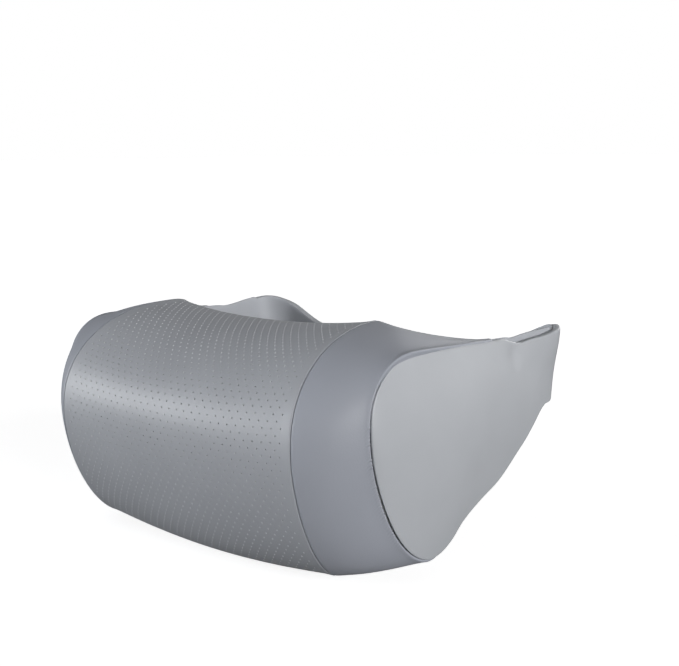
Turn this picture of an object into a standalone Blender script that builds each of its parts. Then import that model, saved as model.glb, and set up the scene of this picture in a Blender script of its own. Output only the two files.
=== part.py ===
"""Car neck pillow: a foam roll in a sewn leather cover, with two wings that close behind it.

Metres, +Z up. The origin is on the flat middle of the back panel, at the height of the
roll's fullest point. -Y is towards the user's neck.
"""
import math

import bmesh
import bpy
from mathutils import Matrix

# Roll, measured from the origin: how far it reaches forwards, up and down
MID_REACH = 0.116
MID_TOP = 0.0603
MID_BOTTOM = 0.1005
SEAM_REACH = 0.1107
SEAM_TOP = 0.067
SEAM_BOTTOM = 0.0905
SIDE_REACH = 0.078
SIDE_TOP = 0.053
SIDE_BOTTOM = 0.0865

# Where the highest, foremost and lowest lines of the roll run
MID_CREST_Y = -0.0137
MID_SOLE_Y = -0.056
SEAM_CREST_Y = -0.010
SEAM_SOLE_Y = -0.065
SEAM_NOSE_Z = -0.005
SIDE_CREST_Y = -0.0345
SIDE_SOLE_Y = -0.015
SIDE_NOSE_Z = 0.011

# Fullness of the roll's outline: 2 is an ellipse, more is squarer
MID_UPPER_POWER = 2.2
MID_LOWER_POWER = 1.87
SEAM_UPPER_POWER = 2.29
SEAM_LOWER_POWER = 1.65
SIDE_UPPER_POWER = 2.4
SIDE_LOWER_POWER = 1.74
APEX_POWER = 1.3
SADDLE_POWER = 2.0

# Back of the roll, flat in the middle, and its slanting ends
BACK_FLAT_HALF = 0.045
BACK_CROWN = 0.004
BACK_EDGE_RADIUS = 0.012
APEX_Y = 0.059
APEX_DROP = 0.0031
SIDE_HEEL = 0.006
SIDE_HEEL_RISE = 0.002

# Seams between the perforated panel, the bands and the wings
SEAM_HALF = 0.099
SEAM_FAN = 0.11
SEAM_LEAN = -0.0365
SIDE_HALF = 0.1469
SIDE_FLARE = 0.0242
BAND_BEND = 0.67

# Wings, which run straight back from the roll's ends and turn inwards behind it
REAR_Y = 0.159
REAR_RADIUS = 0.030
REAR_END_HALF = 0.045
WING_TOP_DIP = 0.006
WING_REAR_TOP = 0.050
WING_REAR_BOTTOM = -0.008
WING_END_TOP = 0.026
WING_END_BOTTOM = -0.008
WING_DROP_START = 0.2
WING_DROP_END = 0.7
WING_LOW_SAG = 0.0075
WING_LOW_SAG_POWER = 1.15
WING_PUFF = 0.008
WING_PUFF_POWER = 0.7
CORE_APEX_SHARE = 0.8
CORE_BACK_TURN = math.radians(60)

# Layers and clearances
LEATHER = 0.0012
LINING = 0.0010
WADDING = 0.0040
LAYER_GAP = 0.0005
BUTT_GAP = 0.0003
SEAM_GAP = 0.0008
SEAM_ALLOWANCE = 0.0012
BACK_END_GAP = 0.0024
WADDING_ALLOWANCE = 0.0018
LINING_START_GAP = 0.0024
LINING_LEAST_HEIGHT = 0.0048

# Closure between the wings' rear ends
STRAP_THICKNESS = 0.0016
STRAP_WIDTH = 0.030
STRAP_SEWN_LENGTH = 0.050
STRAP_TAIL = 0.006
STRAP_STEP_LENGTH = 0.030
TAPE_THICKNESS = 0.0014
TAPE_WIDTH = 0.026
HOOK_LENGTH = 0.045
LOOP_LENGTH = 0.060
TAPE_INSET = 0.004

# Mesh counts and spacing
PANEL_CELLS = 8
BAND_CELLS = 5
SECTION_CELLS = (3, 6, 7, 4)
BACK_CELLS = 4
NOSE_CELLS = 6
FLANK_CELLS = 7
CORNER_CELLS = 5
TAIL_CELLS = 5
HEIGHT_CELLS = 8
STEP_CELLS = 6
CREST_CROWDING = 1.5
NOSE_START = 0.35
SMOOTH_ANGLE = math.radians(40)

# Colours, roughness
PALE_LEATHER = ((0.47, 0.49, 0.53, 1), 0.46)
GREY_LEATHER = ((0.38, 0.40, 0.44, 1), 0.46)
PERFORATED = ((0.33, 0.34, 0.37, 1), 0.50)
LINING_FABRIC = ((0.20, 0.205, 0.22, 1), 0.90)
FOAM = ((0.80, 0.78, 0.70, 1), 0.95)
FELT = ((0.72, 0.72, 0.70, 1), 0.95)
WEBBING = ((0.05, 0.05, 0.055, 1), 0.80)

MID = dict(reach=MID_REACH, top=MID_TOP, bottom=MID_BOTTOM, crest=MID_CREST_Y, sole=MID_SOLE_Y,
           nose=0.0, upper=MID_UPPER_POWER, lower=MID_LOWER_POWER, back=0.0, back_low=0.0,
           back_drop=BACK_EDGE_RADIUS, back_rise=BACK_EDGE_RADIUS, back_power=2.0)
SEAM = dict(reach=SEAM_REACH, top=SEAM_TOP, bottom=SEAM_BOTTOM, crest=SEAM_CREST_Y,
            sole=SEAM_SOLE_Y, nose=SEAM_NOSE_Z, upper=SEAM_UPPER_POWER, lower=SEAM_LOWER_POWER,
            back=BACK_CROWN, back_low=BACK_CROWN, back_drop=BACK_EDGE_RADIUS,
            back_rise=BACK_EDGE_RADIUS, back_power=2.0)
SIDE = dict(reach=SIDE_REACH, top=SIDE_TOP, bottom=SIDE_BOTTOM, crest=SIDE_CREST_Y,
            sole=SIDE_SOLE_Y, nose=SIDE_NOSE_Z, upper=SIDE_UPPER_POWER,
            lower=SIDE_LOWER_POWER, back=APEX_Y, back_low=SIDE_SOLE_Y + SIDE_HEEL,
            back_drop=APEX_DROP, back_rise=SIDE_HEEL_RISE, back_power=APEX_POWER)

# Depths below the leather's outer face
BAND_DEPTH = LEATHER + BUTT_GAP
CORE_DEPTH = LEATHER + 2 * LAYER_GAP
WADDING_DEPTH = LEATHER + LAYER_GAP
LINING_DEPTH = WADDING_DEPTH + WADDING + LAYER_GAP
INSIDE_DEPTH = LINING_DEPTH + LINING


def mix(a, b, t):
    return a + (b - a) * t


def ease(t):
    """From 0 to 1, level at both ends."""
    t = min(1.0, max(0.0, t))
    return t * t * (3 - 2 * t)


def shrink(station, inset):
    """The same station with every outer line moved inwards by inset."""
    inner = dict(station)
    for key in ("reach", "top", "bottom"):
        inner[key] = station[key] - inset
    for key in ("back", "back_low"):
        inner[key] = station[key] - inset
    return inner


def quarter(start, end, power, cells, leaves_level, crowding=1.0):
    """Points of a quarter superellipse in (y, z), without its last point."""
    points = []
    for i in range(cells):
        angle = math.pi / 2 * (i / cells) ** crowding
        s = math.sin(angle) ** (2 / power)
        c = math.cos(angle) ** (2 / power)
        if leaves_level:
            points.append((mix(start[0], end[0], s), mix(end[1], start[1], c)))
        else:
            points.append((mix(end[0], start[0], c), mix(start[1], end[1], s)))
    return points


def section(st):
    """The roll's outline from its top back edge, over the front, to its bottom back edge."""
    back_top = (st["back"], st["top"] - st["back_drop"])
    crest = (st["crest"], st["top"])
    nose = (-st["reach"], st["nose"])
    sole = (st["sole"], -st["bottom"])
    back_low = (st["back_low"], -st["bottom"] + st["back_rise"])
    points = quarter(back_top, crest, st["back_power"], SECTION_CELLS[0], False,
                     CREST_CROWDING)
    points += quarter(crest, nose, st["upper"], SECTION_CELLS[1], True)
    points += quarter(nose, sole, st["lower"], SECTION_CELLS[2], False)
    points += quarter(sole, back_low, 2.0, SECTION_CELLS[3], True)
    return points + [back_low]


def back_line(x):
    """How far behind the origin the back lies at x: flat in the middle, then crowned."""
    past = max(0.0, (x - BACK_FLAT_HALF) / (SEAM_HALF - BACK_FLAT_HALF))
    return BACK_CROWN * past ** 2


def panel_column(u, inset=0.0):
    """Column of the perforated panel: u is 0 in the middle and 1 at the seam."""
    share = abs(u) ** SADDLE_POWER
    station = {key: mix(MID[key], SEAM[key], share) for key in MID}
    station["back"] = station["back_low"] = back_line(abs(u) * SEAM_HALF)
    column = []
    for y, z in section(shrink(station, inset)):
        column.append((u * (SEAM_HALF - SEAM_FAN * y + SEAM_LEAN * z), y, z))
    return column


def side_x(y):
    return SIDE_HALF + SIDE_FLARE * (y + SIDE_REACH)


def band_column(w, inset=0.0, side_inset=BAND_DEPTH):
    """Column of a band: w is 0 at the panel's seam and 1 at the wing's.

    Both ends of the column meet the innermost face of the wing.
    """
    inwards = mix(w, w * w, BAND_BEND)
    seam, side = panel_column(1.0, inset), section(shrink(SIDE, inset))
    last = len(seam) - 1
    column = []
    for i, (a, (y, z)) in enumerate(zip(seam, side)):
        depth = INSIDE_DEPTH if i in (0, last) else side_inset
        column.append((mix(a[0], side_x(y) - depth, w), mix(a[1], y, inwards),
                       mix(a[2], z, inwards)))
    return column


def band_width():
    return side_x(SIDE_CREST_Y) - SEAM_HALF


def steps(first, last, cells):
    return [mix(first, last, i / cells) for i in range(cells + 1)]


def edge_height(y, start, end, power):
    """Height at y of the quarter superellipse that is level at start and upright at end."""
    t = min(1.0, max(0.0, (y - start[0]) / (end[0] - start[0])))
    return end[1] + (start[1] - end[1]) * (1 - t ** power) ** (1 / power)


def wing_length():
    return REAR_Y - REAR_RADIUS


def wing_top(y):
    """Upper edge of a wing's flank: the seam first, then the free edge."""
    if y <= SIDE["crest"]:
        crest = (SIDE["crest"], SIDE["top"])
        return edge_height(y, crest, (-SIDE["reach"], SIDE["nose"]), SIDE["upper"])
    if y <= APEX_Y:
        crest = (SIDE["crest"], SIDE["top"])
        return edge_height(y, crest, (APEX_Y, SIDE["top"] - APEX_DROP), APEX_POWER)
    t = (y - APEX_Y) / (wing_length() - APEX_Y)
    return mix(SIDE_TOP - APEX_DROP, WING_REAR_TOP, t) - WING_TOP_DIP * math.sin(math.pi * t) ** 2


def wing_bottom(y):
    """Lower edge of a wing's flank: the seam first, then the free edge."""
    if y <= SIDE["sole"]:
        sole = (SIDE["sole"], -SIDE["bottom"])
        return edge_height(y, sole, (-SIDE["reach"], SIDE["nose"]), SIDE["lower"])
    t = (y - SIDE["sole"]) / (wing_length() - SIDE["sole"])
    sag = WING_LOW_SAG * math.sin(math.pi * t ** WING_LOW_SAG_POWER)
    return mix(-SIDE["bottom"], WING_REAR_BOTTOM, t) - sag


def join_line(y):
    """Height of the slanting line where the roll ends and the free part of a wing begins."""
    low = (SIDE["back_low"], -SIDE["bottom"])
    high = (APEX_Y, SIDE["top"] - APEX_DROP)
    return mix(low[1], high[1], (y - low[0]) / (high[0] - low[0]))


def flank_stations(first_y, cells, nose_cells=0):
    """Places along a wing's flank, closer together at its round nose."""
    ys = []
    if nose_cells:
        for i in range(nose_cells):
            turn = math.pi / 2 * (i + NOSE_START) / nose_cells
            ys.append(mix(SIDE["crest"], first_y, math.cos(turn)))
        first_y = SIDE["crest"]
    ys += steps(first_y, wing_length(), cells)
    return [(side_x(y), y, 1.0, 0.0, wing_bottom(y), wing_top(y)) for y in ys]


def tail_stations(end_half):
    """Places round the rear corner and along the back, as (x, y, normal x, normal y, low, high)."""
    corner = (side_x(wing_length()) - REAR_RADIUS, wing_length())
    arc = math.pi / 2 * REAR_RADIUS
    run = corner[0] - end_half
    stations = []
    for i in range(1, CORNER_CELLS + TAIL_CELLS + 1):
        if i <= CORNER_CELLS:
            angle = math.pi / 2 * i / CORNER_CELLS
            gone = arc * i / CORNER_CELLS
            normal = (math.cos(angle), math.sin(angle))
            place = [corner[k] + REAR_RADIUS * normal[k] for k in (0, 1)]
        else:
            back = run * (i - CORNER_CELLS) / TAIL_CELLS
            gone = arc + back
            normal = (0.0, 1.0)
            place = [corner[0] - back, REAR_Y]
        t = gone / (arc + run)
        drop = ease((t - WING_DROP_START) / (WING_DROP_END - WING_DROP_START))
        stations.append((*place, *normal, mix(WING_REAR_BOTTOM, WING_END_BOTTOM, t),
                         mix(WING_REAR_TOP, WING_END_TOP, drop)))
    return stations


def puff(y, q):
    """How far the wadding swells a wing outwards at y, and at the share q of its height."""
    t = (y + SIDE["reach"]) / (wing_length() + SIDE["reach"])
    if not 0 < t < 1:
        return 0.0
    return WING_PUFF * math.sin(math.pi * t ** WING_PUFF_POWER) * math.sin(math.pi * q)


def wing_rows(stations, depth, trim, swell):
    """Grid of points over a wing, depth below its outer face and trim inside its edges."""
    rows = []
    for x, y, nx, ny, low, high in stations:
        row = []
        for q in steps(0.0, 1.0, HEIGHT_CELLS):
            out = (puff(y, q) if swell and ny == 0 else 0.0) - depth
            row.append((x + nx * out, y + ny * out, mix(low + trim, high - trim, q)))
        rows.append(row)
    return rows


def loft(rows, side=1, flip=False):
    """An open surface over a grid of points; side -1 makes the left-hand twin."""
    bm = bmesh.new()
    grid = [[bm.verts.new((side * x, y, z)) for x, y, z in row] for row in rows]
    for near, far in zip(grid, grid[1:]):
        for i in range(len(near) - 1):
            face = [near[i], near[i + 1], far[i + 1], far[i]]
            bm.faces.new(face if (side > 0) != flip else face[::-1])
    bmesh.ops.triangulate(bm, faces=bm.faces[:], quad_method="FIXED")
    return bm, grid


def material(name, look):
    colour, roughness = look
    mat = bpy.data.materials.new(name)
    mat.use_nodes = True
    shader = mat.node_tree.nodes["Principled BSDF"]
    shader.inputs["Base Color"].default_value = colour
    shader.inputs["Roughness"].default_value = roughness
    shader.inputs["Metallic"].default_value = 0.0
    mat.diffuse_color = colour
    return mat


def add_object(name, bm, look, smooth=True):
    mesh = bpy.data.meshes.new(name)
    bm.to_mesh(mesh)
    bm.free()
    if smooth:
        mesh.shade_smooth()
        mesh.set_sharp_from_angle(angle=SMOOTH_ANGLE)
    mesh.materials.append(material(name + "_finish", look))
    obj = bpy.data.objects.new(name, mesh)
    PILLOW.objects.link(obj)
    return obj


def thicken(obj, thickness):
    """Gives an open surface its wall, on the side away from its normals."""
    wall = obj.modifiers.new("wall", "SOLIDIFY")
    wall.thickness = thickness
    wall.offset = -1
    wall.use_even_offset = True
    wall.use_quality_normals = True
    return obj


def mirror_half(obj):
    twin = obj.modifiers.new("twin", "MIRROR")
    twin.use_axis = (True, False, False)
    twin.merge_threshold = 0.00001
    return obj


def front_panel():
    """Perforated leather over the middle of the roll, one piece from back seam to back seam."""
    last = 1 - SEAM_GAP / 2 / SEAM_HALF
    bm, _ = loft([panel_column(u) for u in steps(0, last, PANEL_CELLS)])
    return thicken(mirror_half(add_object("front_panel", bm, PERFORATED)), LEATHER)


def band(name, side):
    """Smooth leather round one end of the roll, between the panel and the wing."""
    first = SEAM_GAP / 2 / band_width()
    bm, _ = loft([band_column(w) for w in steps(first, 1, BAND_CELLS)], side)
    return thicken(add_object(name, bm, GREY_LEATHER), LEATHER)


def core_column(w):
    """Column of the foam under a band, its back held clear of the back panel."""
    inset = CORE_DEPTH
    column = band_column(w, inset, LINING_DEPTH)
    turn = CORE_BACK_TURN * w
    top, low = band_column(w * CORE_APEX_SHARE)[0], band_column(w)[-1]
    column[0] = (top[0] + inset * math.sin(turn), top[1] - inset * math.cos(turn), top[2] - inset)
    column[-1] = (low[0], low[1] - inset, low[2] + inset)
    return column


def foam_core():
    """The memory foam roll: closed rings from end to end, capped flat under the wings."""
    columns = [panel_column(u, CORE_DEPTH) for u in steps(0, 1, PANEL_CELLS)]
    columns += [core_column(w) for w in steps(0, 1, BAND_CELLS)[1:]]
    bm = bmesh.new()
    left = [[(-x, y, z) for x, y, z in column] for column in columns[:0:-1]]
    rings = []
    for column in left + columns:
        top, low = column[0], column[-1]
        spine = [tuple(mix(low[k], top[k], i / BACK_CELLS) for k in range(3))
                 for i in range(1, BACK_CELLS)]
        rings.append([bm.verts.new(co) for co in column + spine])
    count = len(rings[0])
    for near, far in zip(rings, rings[1:]):
        for i in range(count):
            j = (i + 1) % count
            bm.faces.new((near[i], near[j], far[j], far[i]))
    bm.faces.new(rings[0][::-1])
    bm.faces.new(rings[-1])
    bmesh.ops.triangulate(bm, faces=bm.faces[:], quad_method="FIXED")
    bmesh.ops.recalc_face_normals(bm, faces=bm.faces[:])
    return add_object("foam_core", bm, FOAM)


def back_panel():
    """Leather over the back of the roll and its slanting ends."""
    last = 1 - BACK_END_GAP / band_width()
    columns = [panel_column(u) for u in steps(0, 1, PANEL_CELLS)]
    columns += [band_column(w) for w in steps(0, last, BAND_CELLS)[1:]]
    rows = []
    for i, column in enumerate(columns):
        top, low = column[0], column[-1]
        length = math.dist(top, low)
        turned = math.sqrt(max(0, i - PANEL_CELLS) / BAND_CELLS)
        upper = SEAM_ALLOWANCE * (1 + turned) / length
        lower = (LEATHER + SEAM_ALLOWANCE) / length
        rows.append([tuple(mix(low[k], top[k], t) for k in range(3))
                     for t in steps(lower, 1 - upper, BACK_CELLS)])
    bm, _ = loft(rows)
    return thicken(mirror_half(add_object("back_panel", bm, GREY_LEATHER)), LEATHER)


def wing(name, side):
    """Outer leather of one wing: the roll's end, the flank and the narrow rear end."""
    stations = flank_stations(-SIDE["reach"], FLANK_CELLS, NOSE_CELLS)
    stations += tail_stations(REAR_END_HALF)
    bm, _ = loft(wing_rows(stations, 0.0, 0.0, True), side, flip=True)
    return thicken(add_object(name, bm, PALE_LEATHER), LEATHER)


def slab(outer, inner, side):
    """A closed solid between two grids of the same size."""
    bm, front = loft(outer, side, flip=True)
    far = [[bm.verts.new((side * x, y, z)) for x, y, z in row] for row in inner]
    flipped = side < 0
    for a, b in zip(far, far[1:]):
        for i in range(len(a) - 1):
            face = [a[i], a[i + 1], b[i + 1], b[i]]
            bm.faces.new(face[::-1] if flipped else face)
    bottom, top = [row[0] for row in front], [row[-1] for row in front]
    rim = front[0] + top[1:] + front[-1][-2::-1] + bottom[-2:0:-1]
    bottom, top = [row[0] for row in far], [row[-1] for row in far]
    under = far[0] + top[1:] + far[-1][-2::-1] + bottom[-2:0:-1]
    for i in range(len(rim)):
        j = (i + 1) % len(rim)
        bm.faces.new((rim[i], rim[j], under[j], under[i]))
    bmesh.ops.triangulate(bm, faces=bm.faces[:], quad_method="FIXED")
    bmesh.ops.recalc_face_normals(bm, faces=bm.faces[:])
    return bm


def wing_wadding(name, side):
    """Wadding under a wing's leather: fuller over the roll's end, thin at the rear."""
    trim = WADDING_DEPTH + WADDING_ALLOWANCE
    stations = flank_stations(-SIDE["reach"] + 2 * trim, FLANK_CELLS, NOSE_CELLS)
    stations += tail_stations(REAR_END_HALF + trim)
    outer = wing_rows(stations, WADDING_DEPTH, trim, True)
    inner = wing_rows(stations, WADDING_DEPTH + WADDING, trim, False)
    return add_object(name, slab(outer, inner, side), FELT)


def wing_lining(name, side):
    """Lining on the inner side of a wing, behind the slanting end of the roll."""
    first = SIDE["back_low"] + LINING_START_GAP
    stations = []
    for x, y, nx, ny, low, high in flank_stations(first, FLANK_CELLS + NOSE_CELLS):
        roof = max(join_line(y) - SEAM_ALLOWANCE, low + LINING_LEAST_HEIGHT)
        stations.append((x, y, nx, ny, low, min(high, roof)))
    stations += tail_stations(REAR_END_HALF)
    rows = wing_rows(stations, LINING_DEPTH, SEAM_ALLOWANCE, False)
    bm, _ = loft(rows, side, flip=True)
    return thicken(add_object(name, bm, LINING_FABRIC), LINING)


def flat_piece(name, x_range, y_face, width, look):
    """A flat rectangular tape, its inner face at y_face."""
    middle_z = (WING_END_TOP + WING_END_BOTTOM) / 2
    bpy.ops.mesh.primitive_cube_add(size=1)
    obj = bpy.context.object
    obj.name = name
    obj.data.name = name
    length = x_range[1] - x_range[0]
    obj.data.transform(Matrix.Diagonal((length, TAPE_THICKNESS, width, 1)))
    obj.location = ((x_range[0] + x_range[1]) / 2, y_face + TAPE_THICKNESS / 2, middle_z)
    obj.data.materials.append(material(name + "_finish", look))
    for owner in list(obj.users_collection):
        owner.objects.unlink(obj)
    PILLOW.objects.link(obj)
    return obj


def closure_strap(loop_start):
    """Elastic strap sewn on the left wing; its far end carries the hook tape."""
    sewn_y = REAR_Y + BUTT_GAP
    far_y = REAR_Y + 3 * BUTT_GAP + 2 * TAPE_THICKNESS
    start = -REAR_END_HALF - STRAP_SEWN_LENGTH
    end = loop_start + HOOK_LENGTH + STRAP_TAIL
    path = [(start, sewn_y), (-REAR_END_HALF, sewn_y)]
    for t in steps(0, 1, STEP_CELLS):
        path.append((mix(-STRAP_STEP_LENGTH / 2, STRAP_STEP_LENGTH / 2, t),
                     mix(sewn_y, far_y, ease(t))))
    path.append((end, far_y))
    middle_z = (WING_END_TOP + WING_END_BOTTOM) / 2
    rows = [[(x, y, middle_z + STRAP_WIDTH * q) for q in (-0.5, 0.5)] for x, y in path]
    bm, _ = loft(rows, flip=True)
    return thicken(add_object("closure_strap", bm, WEBBING, smooth=False), STRAP_THICKNESS)


def closure():
    loop_start = REAR_END_HALF + TAPE_INSET
    loop_face = REAR_Y + BUTT_GAP
    hook_face = loop_face + TAPE_THICKNESS + BUTT_GAP
    flat_piece("loop_tape", (loop_start, loop_start + LOOP_LENGTH), loop_face, TAPE_WIDTH,
               WEBBING)
    flat_piece("hook_tape", (loop_start, loop_start + HOOK_LENGTH), hook_face, TAPE_WIDTH,
               WEBBING)
    closure_strap(loop_start)


for old in list(bpy.data.objects):
    bpy.data.objects.remove(old, do_unlink=True)
PILLOW = bpy.data.collections.new("car_neck_pillow")
bpy.context.scene.collection.children.link(PILLOW)

foam_core()
front_panel()
back_panel()
for side_name, side in (("left", -1), ("right", 1)):
    band("band_" + side_name, side)
    wing("wing_" + side_name, side)
    wing_wadding("wing_wadding_" + side_name, side)
    wing_lining("wing_lining_" + side_name, side)
closure()
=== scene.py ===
import math

import bmesh
import bpy
from mathutils import Matrix, Vector, noise


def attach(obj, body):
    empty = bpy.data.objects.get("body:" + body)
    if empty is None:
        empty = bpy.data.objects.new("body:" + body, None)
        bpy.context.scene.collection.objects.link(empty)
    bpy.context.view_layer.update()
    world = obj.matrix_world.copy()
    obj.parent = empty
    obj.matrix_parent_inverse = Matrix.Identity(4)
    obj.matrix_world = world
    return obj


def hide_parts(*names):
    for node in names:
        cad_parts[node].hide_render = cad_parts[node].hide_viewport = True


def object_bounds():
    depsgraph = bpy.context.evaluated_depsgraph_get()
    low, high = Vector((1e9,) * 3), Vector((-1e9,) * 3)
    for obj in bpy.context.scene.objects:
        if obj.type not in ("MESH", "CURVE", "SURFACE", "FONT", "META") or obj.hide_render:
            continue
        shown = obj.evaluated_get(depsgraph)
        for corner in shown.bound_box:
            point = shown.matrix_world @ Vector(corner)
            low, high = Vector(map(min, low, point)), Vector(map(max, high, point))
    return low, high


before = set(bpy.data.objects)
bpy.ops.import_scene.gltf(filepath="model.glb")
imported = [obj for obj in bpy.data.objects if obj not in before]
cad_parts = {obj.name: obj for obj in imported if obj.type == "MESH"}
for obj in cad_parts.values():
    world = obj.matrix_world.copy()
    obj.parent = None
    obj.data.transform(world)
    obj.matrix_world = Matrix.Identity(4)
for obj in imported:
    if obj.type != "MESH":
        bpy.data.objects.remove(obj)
cadLow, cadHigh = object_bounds()
print("model loaded:", len(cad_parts), "nodes")

# the roll's outline in metres: at its middle, at the front seam and at the wing
roll = {
    "mid": {"reach": 0.116, "top": 0.0603, "bottom": 0.1005, "crest": -0.0137, "sole": -0.056,
            "nose": 0.0, "upper": 2.2, "lower": 1.87, "back": 0.0, "backLow": 0.0,
            "drop": 0.012, "rise": 0.012, "backPower": 2.0},
    "seam": {"reach": 0.1107, "top": 0.067, "bottom": 0.0905, "crest": -0.010, "sole": -0.065,
             "nose": -0.005, "upper": 2.29, "lower": 1.65, "back": 0.004, "backLow": 0.004,
             "drop": 0.012, "rise": 0.012, "backPower": 2.0},
    "side": {"reach": 0.078, "top": 0.053, "bottom": 0.0865, "crest": -0.0345, "sole": -0.015,
             "nose": 0.011, "upper": 2.4, "lower": 1.74, "back": 0.059, "backLow": -0.009,
             "drop": 0.0031, "rise": 0.002, "backPower": 1.3},
    "saddle": 2.0, "backFlat": 0.045, "backCrown": 0.004,
    "seamHalf": 0.099, "seamFan": 0.11, "seamLean": -0.0365,
    "sideHalf": 0.1469, "sideFlare": 0.0242, "bandBend": 0.67,
    "cells": (24, 48, 56, 32), "crestCrowding": 1.5, "sunkCells": 8,
    "inside": Vector((0.0, -0.055, -0.02)), "bandInside": Vector((0.10, -0.03, -0.02)),
}

# how deep each layer of a wing lies below the leather's face
layers = {"band": 0.0007, "liningFace": 0.0072, "liningThick": 0.0015, "waddingFace": 0.0018,
          "waddingThick": 0.0037}


def between(a, b, t):
    return a + (b - a) * t


def ease(t):
    t = min(1.0, max(0.0, t))
    return t * t * (3 - 2 * t)


def quarter(start, end, power, cells, leavesLevel, crowding=1.0):
    found = []
    for i in range(cells):
        angle = math.pi / 2 * (i / cells) ** crowding
        s = math.sin(angle) ** (2 / power)
        c = math.cos(angle) ** (2 / power)
        if leavesLevel:
            found.append((between(start[0], end[0], s), between(end[1], start[1], c)))
        else:
            found.append((between(end[0], start[0], c), between(start[1], end[1], s)))
    return found


def outline(at):
    # from the top back edge over the front to the bottom back edge, in (y, z)
    backTop = (at["back"], at["top"] - at["drop"])
    crest = (at["crest"], at["top"])
    nose = (-at["reach"], at["nose"])
    sole = (at["sole"], -at["bottom"])
    backLow = (at["backLow"], -at["bottom"] + at["rise"])
    cells = roll["cells"]
    found = quarter(backTop, crest, at["backPower"], cells[0], False, roll["crestCrowding"])
    found += quarter(crest, nose, at["upper"], cells[1], True)
    found += quarter(nose, sole, at["lower"], cells[2], False)
    found += quarter(sole, backLow, 2.0, cells[3], True)
    return found + [backLow]


def backLine(x):
    past = max(0.0, (x - roll["backFlat"]) / (roll["seamHalf"] - roll["backFlat"]))
    return roll["backCrown"] * past ** 2


def panelLine(u):
    # a line over the perforated panel: u is 0 in the middle and 1 at the seam
    share = abs(u) ** roll["saddle"]
    at = {key: between(roll["mid"][key], roll["seam"][key], share) for key in roll["mid"]}
    at["back"] = at["backLow"] = backLine(abs(u) * roll["seamHalf"])
    return [Vector((u * (roll["seamHalf"] - roll["seamFan"] * y + roll["seamLean"] * z), y, z))
            for y, z in outline(at)]


def sideX(y):
    return roll["sideHalf"] + roll["sideFlare"] * (y + roll["side"]["reach"])


def bandLine(w):
    # a line over a band: w is 0 at the panel's seam and 1 at the wing's
    inwards = between(w, w * w, roll["bandBend"])
    seam, side = panelLine(1.0), outline(roll["side"])
    last = len(seam) - 1
    found = []
    for i, (a, (y, z)) in enumerate(zip(seam, side)):
        ends = 1 - min(1.0, i / roll["sunkCells"], (last - i) / roll["sunkCells"])
        depth = between(layers["band"], layers["liningFace"], ends)
        found.append(Vector((between(a.x, sideX(y) - depth, w), between(a.y, y, inwards),
                             between(a.z, z, inwards))))
    return found


def evenly(line, count, first=0.0, last=0.0):
    # count points at even steps along a line, cut short by first and last metres
    lengths = [0.0]
    for a, b in zip(line, line[1:]):
        lengths.append(lengths[-1] + (b - a).length)
    found = []
    k = 0
    for i in range(count):
        goal = between(first, lengths[-1] - last, i / (count - 1))
        while k < len(line) - 2 and lengths[k + 1] < goal:
            k += 1
        span = max(lengths[k + 1] - lengths[k], 1e-9)
        found.append(line[k].lerp(line[k + 1], (goal - lengths[k]) / span))
    return found


def acrossEvenly(rows, count, first, last):
    # the same, over the rows: every line that crosses them is cut to an exact distance
    lines = [evenly(list(line), count, first, last) for line in zip(*rows)]
    return [list(row) for row in zip(*lines)]


def sheet(rows, outwards):
    # a flat grid from the operator, laid onto rows of points
    bm = bmesh.new()
    bm.loops.layers.uv.new("UVMap")
    across, along = len(rows) - 1, len(rows[0]) - 1
    bmesh.ops.create_grid(bm, x_segments=across, y_segments=along, size=0.5, calc_uvs=True)
    for v in bm.verts:
        v.co = rows[round((v.co.x + 0.5) * across)][round((v.co.y + 0.5) * along)]
    bm.normal_update()
    if sum(f.normal.dot(outwards(f.calc_center_median())) for f in bm.faces) < 0:
        bmesh.ops.reverse_faces(bm, faces=bm.faces[:])
        bm.normal_update()
    return bm


def turnEdge(bm, edges, profile):
    # rolls an open edge over: each step goes some way outwards and down from where it began
    began = {}
    rim = set(edges)
    for v in {v for e in edges for v in e.verts}:
        out = Vector()
        for e in v.link_edges:
            if e not in rim:
                out += (v.co - e.other_vert(v).co).normalized()
        if out.length < 1e-6:
            faces = v.link_faces
            out = v.co - sum((f.calc_center_median() for f in faces), Vector()) / len(faces)
        out -= v.normal * out.dot(v.normal)
        began[v] = (v.co.copy(), out.normalized(), v.normal.copy())
    for outwards, down in profile:
        made = bmesh.ops.extrude_edge_only(bm, edges=edges)["geom"]
        fresh = {g for g in made if isinstance(g, bmesh.types.BMVert)}
        edges = [g for g in made if isinstance(g, bmesh.types.BMEdge)
                 and g.verts[0] in fresh and g.verts[1] in fresh]
        for v in fresh:
            old = next(e.other_vert(v) for e in v.link_edges if e.other_vert(v) in began
                       and e.other_vert(v) not in fresh)
            began[v] = began[old]
            place, out, normal = began[v]
            v.co = place + out * outwards - normal * down
    return edges


def refine(bm):
    # every face into four, on a smooth surface
    bmesh.ops.subdivide_edges(bm, edges=bm.edges[:], cuts=1, use_grid_fill=True, smooth=0.7)
    bm.normal_update()


def openEdges(bm):
    return [e for e in bm.edges if e.is_boundary]


def newPiece(name, bm, finishes, smoothAngle=50):
    mesh = bpy.data.meshes.new(name)
    bm.to_mesh(mesh)
    bm.free()
    mesh.shade_smooth()
    mesh.set_sharp_from_angle(angle=math.radians(smoothAngle))
    for finish in finishes:
        mesh.materials.append(finish)
    piece = bpy.data.objects.new(name, mesh)
    bpy.context.scene.collection.objects.link(piece)
    return piece


cloth = {"frames": 20, "quality": 5, "mass": 0.15}


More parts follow.
